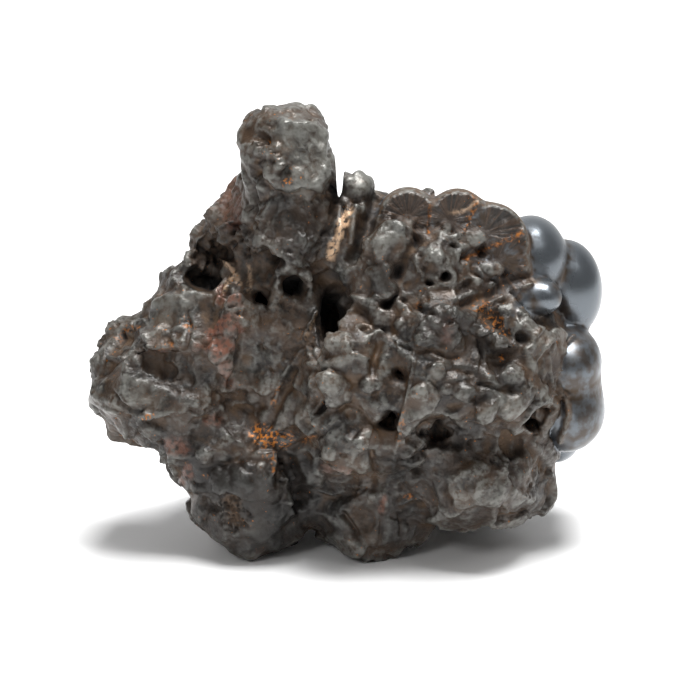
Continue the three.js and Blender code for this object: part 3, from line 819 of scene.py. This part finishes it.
def makeStone():
    piece = softBody()
    print("body copied and softened:", len(piece.data.vertices), "vertices")
    fuseDomes(piece)
    mesh = piece.data
    print("domes fused:", len(mesh.vertices), "vertices")

    places, edges = placesOf(mesh), edgesOf(mesh)
    skin, way, _ = domeSkin(places)
    near = 1 - smoothStep(0.35, 0.8, np.abs(skin))
    for _ in range(stone["skinPasses"]):
        places -= way * (skin * near)[:, None]
        skin, way, _ = domeSkin(places)
    setPlaces(mesh, places)
    section = sectionShare(places, "shape")
    gloss = (1 - smoothStep(0.1, 0.5, np.abs(skin))) * (1 - section)
    broken = (1 - gloss) * (1 - section)
    places += (averaged(places, edges, stone["breakPasses"]) - places) * broken[:, None]
    warpBreak(places, broken)
    setPlaces(mesh, places)
    print("domes smoothed, break roughened")

    normals = averaged(normalsOf(mesh), edges, stone["facingPasses"])
    normals /= np.linalg.norm(normals, axis=1)[:, None]
    surface = surfaceOf(mesh)
    wobble = warpAt(places, 2.2, 11)
    rough = (1 - gloss) * (1 - 0.8 * section) * (1 - 0.85 * painted(places, wobble, surface, "smooth"))
    rough *= 1 - painted(places, wobble, surface, "skin")
    for area, kinds in strokes.items():
        found = [(kind, stroke) for kind, *group in kinds for stroke in group]
        for kind, stroke in found:
            sculpt(places, normals, wobble, surface, kind, stroke)
        print("sculpted", area, len(found), "strokes")
    addRelief(places, normals, rough)
    places += (averaged(places, edges, 1, stone["lastShare"]) - places) * broken[:, None]
    addFans(places, normals, surface)
    addLattice(places, normals, wobble, surface)
    places = cutNotch(places)
    setPlaces(mesh, np.clip(places, np.array(cadLow) / mm, np.array(cadHigh) / mm))
    print("relief laid on")
    withModifier(piece, "DECIMATE", ratio=stone["triangles"] / (2 * len(mesh.polygons)))
    return piece


# How open the sky over a place is: how many rays are sent out, how far, and how far off the stone they start.
openness = {"rays": 20, "reach": 11, "start": 0.12}


# How much of the open sky over each place is free of other stone, from 0 to 1.
def opennessOf(places, normals, surface):
    ways = []
    for ray in range(openness["rays"]):
        lift = math.sqrt(1 - (ray + 0.5) / openness["rays"])
        turn = goldenTurn * ray
        flat = math.sqrt(1 - lift * lift)
        ways.append((flat * math.cos(turn), flat * math.sin(turn), lift))
    free = np.zeros(len(places))
    cast, reach = surface.ray_cast, openness["reach"]
    for row, (place, normal) in enumerate(zip(places, normals)):
        up = Vector(normal)
        across = up.orthogonal().normalized()
        along = up.cross(across)
        start = Vector(place) + up * openness["start"]
        for x, y, z in ways:
            found = cast(start, across * x + along * y + up * z, reach)[3]
            free[row] += 1 if found is None else found / reach * 0.6
    return free / openness["rays"]


# Where lighter edges (wear and painted highlight), dust and the painted shade of recesses begin, where they are
# full, and their share: by how far a place stands above or below what is close by or further off, and by how
# open it is.
weather = {
    "fineEdge": (0.01, 0.05, 0.35),
    "wideEdge": (0.1, 0.45, 0.4),
    "fineHollow": (0.01, 0.06, 0.35),
    "wideHollow": (0.02, 0.4, 1),
    "rubbed": (0.45, 0.85, 1),
    # painted shade: the share of darkening where little of the open sky is reached
    "deep": (0.25, 0.75, 1),
}


def weathered(name, values):
    begin, full, share = weather[name]
    return smoothStep(begin, full, values) * share


def store(mesh, name, values):
    layer = mesh.attributes.new(name, "FLOAT", "POINT")
    layer.data.foreach_set("value", values.astype(np.float32))


# Masks that the material reads, worked out on the finished mesh.
def paintStone(piece):
    mesh = piece.data
    places, normals, edges = placesOf(mesh), normalsOf(mesh), edgesOf(mesh)
    surface = surfaceOf(mesh)
    wobble = warpAt(places, 1.6, 11)
    skin, _, apart = domeSkin(places)
    section = sectionShare(places, "finish")
    gloss = (1 - smoothStep(0.06, 0.22, np.abs(skin))) * (1 - sectionShare(places, "gloss"))
    gloss = np.maximum(gloss, smoothStep(0.3, 0.6, painted(places, wobble, surface, "skin")))
    rim = rimShare(places) * smoothStep(0.3, 0.8, gloss)
    fine = averaged(places, edges, 4)
    wide = averaged(fine, edges, 50)
    fineLift = np.einsum("ij,ij->i", places - fine, normals)
    wideLift = np.einsum("ij,ij->i", fine - wide, normals)
    free = averaged(opennessOf(places, normals, surface), edges, 1)
    print("recesses measured, least open", round(float(free.min()), 2))
    # Convex edges made lighter: partly wear, partly painted highlight of edges catching the light.
    wornAndLit = weathered("fineEdge", fineLift) + weathered("wideEdge", wideLift)
    hollow = weathered("fineHollow", -fineLift) + weathered("wideHollow", -wideLift)
    store(mesh, "gloss", gloss * (1 - rim))
    store(mesh, "crease", 1 - smoothStep(0.1, 1.1, apart))
    store(mesh, "edgeWearAndLit", wornAndLit * weathered("rubbed", free))
    store(mesh, "cavity", np.clip(hollow, 0, 1))
    # Painted shade: places that little of the open sky reaches are darkened towards near-black.
    store(mesh, "deep", weathered("deep", 1 - free))
    # cream, red and ochre are the stone's own colours; the shade strokes are painted shade, and the pale ones
    # are partly painted highlight.
    for name in ("cream", "red", "ochre", "paleAndLit", "paintedShade"):
        store(mesh, name, painted(places, wobble, surface, name))
    store(mesh, "brown", np.maximum(painted(places, wobble, surface, "brown"), rim))
    store(mesh, "smooth", np.maximum(painted(places, wobble, surface, "smooth"), 0.8 * calmAt(places)))
    owner, angle, far, seam = fanPlaces(places, surface)
    store(mesh, "section", section)
    store(mesh, "seams", seam * section)
    fan = mesh.attributes.new("fan", "FLOAT_VECTOR", "POINT")
    strands = np.stack([angle * fans["finest"], far * fans["drawnOut"], owner * 5.0], axis=1)
    fan.data.foreach_set("vector", strands.astype(np.float32).ravel())
    print("masks painted")


finishes = {
    "darkRock": "#17120f",
    "midRock": "#2d231c",
    "lightRock": "#4e4236",
    # light grey of worn edges and pale stone, partly painted highlight
    "wornAndLit": "#72726d",
    "dust": "#4b3825",
    # near-black of the painted shade in closed recesses and on shaded undersides
    "deep": "#0a0705",
    "ochre": "#a8641c",
    "red": "#664030",
    "cream": "#c2a283",
    "brown": "#4a3828",
    "dome": "#666b70",
    "stain": "#463b31",
    "fan": "#402f22",
    "table": "#f7f7f7",
}
# Speckles that break the colours up: size of the grain, detail, distortion, and the range in which it shows.
speckles = {
    "mottle": (9, 5, 0.8, 0.4, 0.6),
    "grain": (0.5, 6, 0, 0.5, 0.72),
    "lump": (1.6, 7, 0.5),
    "film": (5, 9, 0.4, 0.42, 0.66),
    "dustGrain": (2.6, 6, 0, 0.4, 0.6),
    "wornGrain": (0.8, 6, 0, 0.3, 0.6),
    "paleGrain": (1.2, 7, 0.5, 0.25, 0.75),
    "brownGrain": (0.9, 7, 0, 0.34, 0.62),
    "redGrain": (0.8, 6, 0, 0.32, 0.6),
    "creamGrain": (0.7, 6, 0, 0.34, 0.55),
    "ochreGrain": (0.5, 5, 0, 0.48, 0.62),
    "fleck": (0.45, 3, 0, 0.68, 0.74),
    "flecked": (5, 3, 0, 0.48, 0.6),
    "seamGrain": (0.6, 5, 0, 0.4, 0.62),
    "stainGrain": (1.8, 5, 0, 0.3, 0.6),
}
# Colours laid over the bare rock, from the bottom up: the finish, then what is multiplied for its strength.
layers = [
    ("lightRock", "grain", 0.45),
    ("dust", "dustGrain", "cavity"),
    ("brown", "film", 0.6),
    # Lighter open convex edges: partly wear, partly painted highlight.
    ("wornAndLit", "wornGrain", "edgeWearAndLit"),
    # Painted shade: closed recesses darkened towards near-black.
    ("deep", "deep"),
    # Painted shade laid by the shade strokes, towards near-black.
    ("deep", "paintedShade", 0.9),
    # Partly pale rock, partly painted highlight on lit tops and glints.
    ("wornAndLit", "paleAndLit", "paleGrain"),
    ("brown", "brown", "brownGrain"),
    ("fibres", "section", 0.85),
    ("red", "red", "redGrain"),
    ("cream", "cream", "creamGrain"),
    ("ochre", "ochre", "ochreGrain"),
    ("ochre", "fleck", "flecked"),
    ("ochre", "seams", "seamGrain"),
    ("skin", "gloss"),
]
# How rough the bare rock is, then what is laid over it in turn, then the skin of the domes, clean and stained.
roughness = {"rock": 0.46, "cavity": 0.8, "edgeWearAndLit": 0.28, "smooth": 0.37, "deep": 0.85, "brown": 0.65}
skinRoughness = {"clean": 0.27, "stained": 0.42}
metallic = {"rubbed": 0.3, "dome": 0.8}
bump = {"distance": 0.2, "chip": 0.9, "chipShare": 0.25, "lumpShare": 1.2, "fibreShare": 1.2}


def hexToLinear(text):
    parts = [int(text[i:i + 2], 16) / 255 for i in (1, 3, 5)]
    return tuple(c / 12.92 if c <= 0.04045 else ((c + 0.055) / 1.055) ** 2.4 for c in parts) + (1,)


# A node with its settings: attributes by name, and sockets by name or number, each with a value or a link.
def addNode(tree, kind, settings):
    node = tree.nodes.new("ShaderNode" + kind)
    for key, value in settings.items():
        if isinstance(value, bpy.types.NodeSocket):
            tree.links.new(value, node.inputs[key])
        elif isinstance(key, str) and hasattr(node, key):
            setattr(node, key, value)
        else:
            node.inputs[key].default_value = value
    return node


# Botryoidal hematite: satin, dusty iron oxide where broken, with a steel-like skin on the grown domes.
# Painted shade darkens its recesses and undersides, and painted highlight lightens lit tops and edges.
def hematiteMaterial():
    material = bpy.data.materials.new("brokenHematite")
    material.use_nodes = True
    tree = material.node_tree
    tree.nodes.clear()
    coords = addNode(tree, "TexCoord", {}).outputs["Object"]
    values = {}
    for name in ("gloss", "crease", "edgeWearAndLit", "cavity", "deep", "cream", "red", "ochre", "paleAndLit", "paintedShade",
                 "brown", "smooth", "section", "seams"):
        values[name] = addNode(tree, "Attribute", {"attribute_name": name}).outputs["Fac"]
    raw = {}
    for name, (size, detail, distortion, *span) in speckles.items():
        shape = {"Vector": coords, "Scale": 1 / (size * mm), "Detail": detail, "Distortion": distortion}
        raw[name] = addNode(tree, "TexNoise", shape).outputs["Fac"]
        if span:
            showing = {"interpolation_type": "SMOOTHSTEP", 0: raw[name], 1: span[0], 2: span[1]}
            values[name] = addNode(tree, "MapRange", showing).outputs[0]
    fanWay = addNode(tree, "Attribute", {"attribute_name": "fan"}).outputs["Vector"]
    threads = addNode(tree, "TexNoise", {"Vector": fanWay, "Scale": 1, "Detail": 5}).outputs["Fac"]
    showing = {"interpolation_type": "SMOOTHSTEP", 0: threads, 1: 0.35, 2: 0.65}
    values["thread"] = addNode(tree, "MapRange", showing).outputs[0]
    either = {"operation": "MAXIMUM", 0: values["crease"], 1: values["brown"]}
    values["stain"] = addNode(tree, "Math", either).outputs[0]
    both = {"operation": "MULTIPLY", 0: values["stain"], 1: values["stainGrain"]}
    values["stained"] = addNode(tree, "Math", both).outputs[0]

    tints = {name: hexToLinear(text) for name, text in finishes.items()}
    grounds = {"rock": ("mottle", "darkRock", "midRock"), "fibres": ("thread", "darkRock", "fan")}
    grounds["skin"] = ("stained", "dome", "stain")
    for name, (share, first, second) in grounds.items():
        mix = {"data_type": "RGBA", 0: values[share], 6: tints[first], 7: tints[second]}
        tints[name] = addNode(tree, "Mix", mix).outputs[2]
    color = tints["rock"]
    for finish, first, *others in layers:
        share = values[first]
        for other in others:
            product = {"operation": "MULTIPLY", 0: share, 1: values.get(other, other)}
            share = addNode(tree, "Math", product).outputs[0]
        mix = {"data_type": "RGBA", 0: share, 6: color, 7: tints[finish]}
        color = addNode(tree, "Mix", mix).outputs[2]

    rough = roughness["rock"]
    for name in ("cavity", "edgeWearAndLit", "smooth", "deep", "brown"):
        mix = {"data_type": "FLOAT", 0: values[name], 2: rough, 3: roughness[name]}
        rough = addNode(tree, "Mix", mix).outputs[0]
    mix = {"data_type": "FLOAT", 0: values["stain"], 2: skinRoughness["clean"], 3: skinRoughness["stained"]}
    skinRough = addNode(tree, "Mix", mix).outputs[0]
    mix = {"data_type": "FLOAT", 0: values["gloss"], 2: rough, 3: skinRough}
    rough = addNode(tree, "Mix", mix).outputs[0]
    either = {"operation": "MAXIMUM", 0: values["edgeWearAndLit"], 1: values["smooth"]}
    rubbed = addNode(tree, "Math", either).outputs[0]
    rubbed = addNode(tree, "Math", {"operation": "MULTIPLY", 0: rubbed, 1: metallic["rubbed"]}).outputs[0]
    mix = {"data_type": "FLOAT", 0: values["gloss"], 2: rubbed, 3: metallic["dome"]}
    metal = addNode(tree, "Mix", mix).outputs[0]

    shape = {"Vector": coords, "Scale": 1 / (bump["chip"] * mm), "Detail": 1}
    chips = addNode(tree, "TexVoronoi", shape).outputs["Distance"]
    product = {"operation": "MULTIPLY", 0: values["section"], 1: bump["fibreShare"]}
    fibres = addNode(tree, "Math", product).outputs[0]
    height = raw["grain"]
    for part, share in ((chips, bump["chipShare"]), (raw["lump"], bump["lumpShare"]), (threads, fibres)):
        total = {"operation": "MULTIPLY_ADD", 0: part, 1: share, 2: height}
        height = addNode(tree, "Math", total).outputs[0]
    quiet = addNode(tree, "Math", {"operation": "MULTIPLY", 0: values["smooth"], 1: 0.65}).outputs[0]
    quiet = addNode(tree, "Math", {"operation": "MAXIMUM", 0: values["gloss"], 1: quiet}).outputs[0]
    strength = addNode(tree, "Math", {"operation": "MULTIPLY_ADD", 0: quiet, 1: -0.9, 2: 0.95}).outputs[0]
    relieved = {"Distance": bump["distance"] * mm, "Height": height, "Strength": strength}
    normal = addNode(tree, "Bump", relieved).outputs[0]
    surface = {"Base Color": color, "Roughness": rough, "Metallic": metal, "Normal": normal, "IOR": 1.5}
    shader = addNode(tree, "BsdfPrincipled", surface)
    addNode(tree, "OutputMaterial", {"Surface": shader.outputs[0]})
    return material


def finishStone(piece):
    piece.data.materials.clear()
    piece.data.materials.append(hematiteMaterial())
    for polygon in piece.data.polygons:
        polygon.use_smooth = True
    piece.name = "hematiteStone"
    piece.data.name = "hematiteStone"
    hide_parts("hematite")
    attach(piece, "root")


stonePiece = makeStone()
print("stone:", len(stonePiece.data.polygons), "faces")
paintStone(stonePiece)
finishStone(stonePiece)
print("stone finished")


# White table under soft studio light: a lamp straight above, a weaker one at each side and a bright far wall,
# which the sky fades into over the range behindRange. Sizes in metres.
studio = {
    "floor": 4.0,
    "world": 0.16,
    "behind": 0.95,
    "behindRange": (0.3, 0.9),
    "lampsLookAt": (0, 0, 0.03),
    "lamps": {
        "top": {"at": (0.1, -0.02, 0.82), "size": 0.4, "power": 13.5},
        "left": {"at": (-0.42, -0.6, 0.55), "size": 0.22, "power": 1.3},
        "right": {"at": (0.45, -0.35, 0.75), "size": 0.35, "power": 0.7},
    },
}


def makeStudio():
    bm = bmesh.new()
    bmesh.ops.create_grid(bm, x_segments=1, y_segments=1, size=studio["floor"] / 2)
    floor = newPiece("floor", bm)
    white = bpy.data.materials.new("whiteTable")  # matt white laminate, an even ground for the shadow
    white.use_nodes = True
    shader = white.node_tree.nodes["Principled BSDF"]
    shader.inputs["Base Color"].default_value = hexToLinear(finishes["table"])
    shader.inputs["Roughness"].default_value = 0.7
    floor.data.materials.append(white)
    world = bpy.data.worlds.new("studio")
    world.use_nodes = True
    tree = world.node_tree
    background = tree.nodes["Background"]
    background.inputs["Color"].default_value = (1, 1, 1, 1)
    sky = addNode(tree, "TexCoord", {}).outputs["Generated"]
    back = addNode(tree, "SeparateXYZ", {0: sky}).outputs["Y"]
    begin, full = studio["behindRange"]
    levels = {0: back, 1: begin, 2: full, 3: studio["world"], 4: studio["behind"]}
    level = addNode(tree, "MapRange", levels).outputs[0]
    tree.links.new(level, background.inputs["Strength"])
    bpy.context.scene.world = world
    middle = Vector(studio["lampsLookAt"])
    for name, spec in studio["lamps"].items():
        lamp = bpy.data.lights.new(name, "AREA")
        lamp.size = spec["size"]
        lamp.energy = spec["power"]
        holder = bpy.data.objects.new(name, lamp)
        holder.location = spec["at"]
        holder.rotation_euler = (middle - Vector(spec["at"])).to_track_quat("-Z", "Y").to_euler()
        bpy.context.scene.collection.objects.link(holder)


def makeCamera():
    data = bpy.data.cameras.new("photoView")
    data.sensor_width = 36
    data.lens = data.sensor_width * photo["distance"] / (photo["mmPerPixel"] * photo["pixels"])
    camera = bpy.data.objects.new("photoView", data)
    camera.location = cameraPlace * mm
    camera.rotation_euler = (math.radians(90 - photo["elevation"]), 0, 0)
    bpy.context.scene.collection.objects.link(camera)
    bpy.context.scene.camera = camera


makeStudio()
makeCamera()
print("table, lamps and camera set")
bpy.context.scene.view_settings.view_transform = "Standard"
